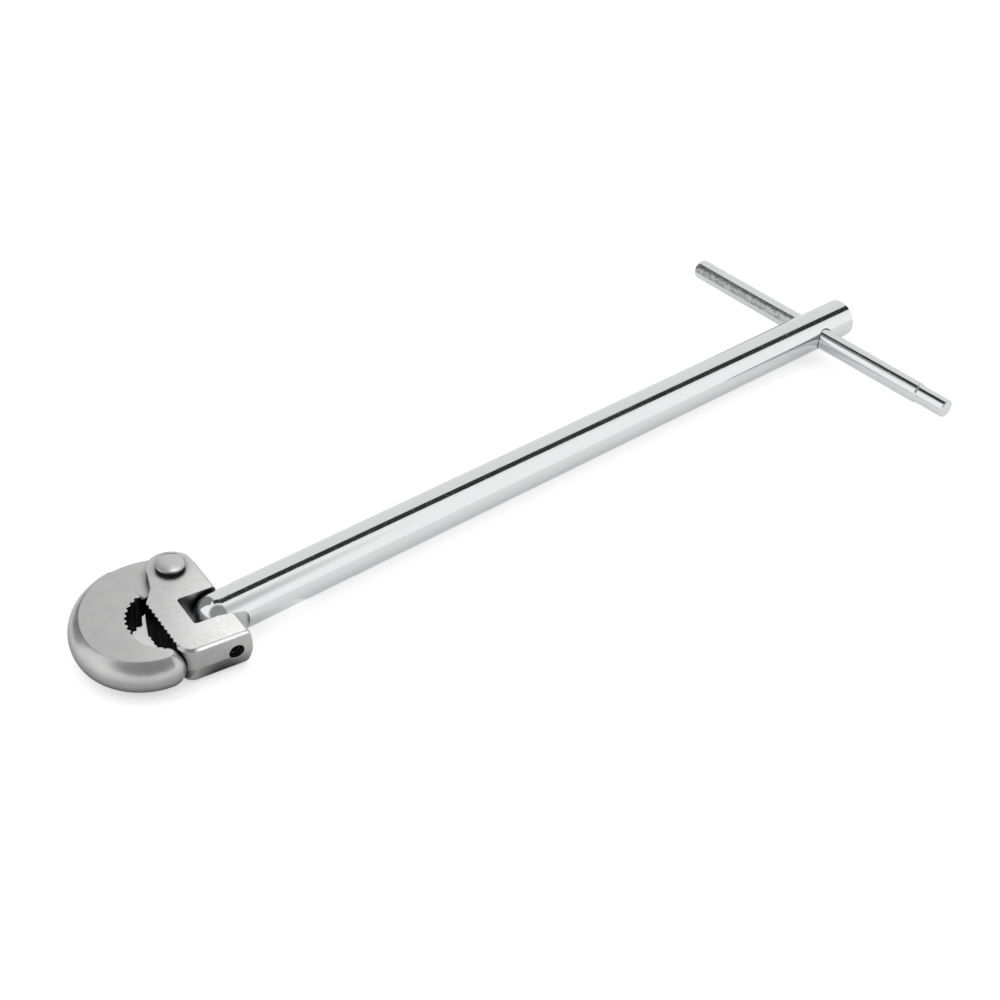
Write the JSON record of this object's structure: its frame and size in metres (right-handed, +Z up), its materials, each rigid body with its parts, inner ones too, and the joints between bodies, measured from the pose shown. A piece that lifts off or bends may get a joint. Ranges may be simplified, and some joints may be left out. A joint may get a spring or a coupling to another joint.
{
  "type": "basin wrench",
  "caption": "Basin wrench with a long round shaft, a sliding tommy bar and a swivelling, spring-closed toothed hook jaw that grips nuts in tight places.",
  "frame": {"origin": "centre of the shaft's flat end face, at the tommy bar end", "axes": "+X along the shaft and out of that end face; +Y along the tommy bar, towards the side where the jaw rivet lies; +Z up, along the rivet, square to the flat of the head"},
  "size_m": [0.2883, 0.1072, 0.0137],
  "materials": {
    "chrome_plate": "bright chrome plate with faint drawing lines",
    "satin_forging": "bead-blasted satin nickel over a forging",
    "dark_steel": "oiled dark spring steel",
    "bright_rivet": "smooth zinc-plated rivet",
    "spring_wire": "drawn spring wire"
  },
  "bodies": {
    "shaft": {"shaft": "chrome_plate"},
    "tommy_bar": {"tommy_bar": "chrome_plate"},
    "head": {"heel_jaw": "satin_forging", "swivel_pin": "dark_steel", "jaw_rivet": "bright_rivet", "jaw_spring": "spring_wire"},
    "hook": {"hook_jaw": "satin_forging"}
  },
  "joints": [
    {"name": "tommy_bar_slide", "type": "slide", "parent": "shaft", "child": "tommy_bar", "axis": [0, 1, 0], "range_m": [-0.0325, 0.038]},
    {"name": "head_swivel", "type": "hinge", "parent": "shaft", "child": "head", "pos_m": [-0.253, 0, 0], "axis": [0.1357, 0.9907, 0], "range_deg": [-90, 90]},
    {"name": "hook_pivot", "type": "hinge", "parent": "head", "child": "hook", "pos_m": [-0.25336, 0.01802, 0], "axis": [0, 0, -1], "range_deg": [0, 65], "stiffness_Nm_per_rad": 0.06, "springref_deg": -34.38, "deforming": ["jaw_spring"]}
  ]
}
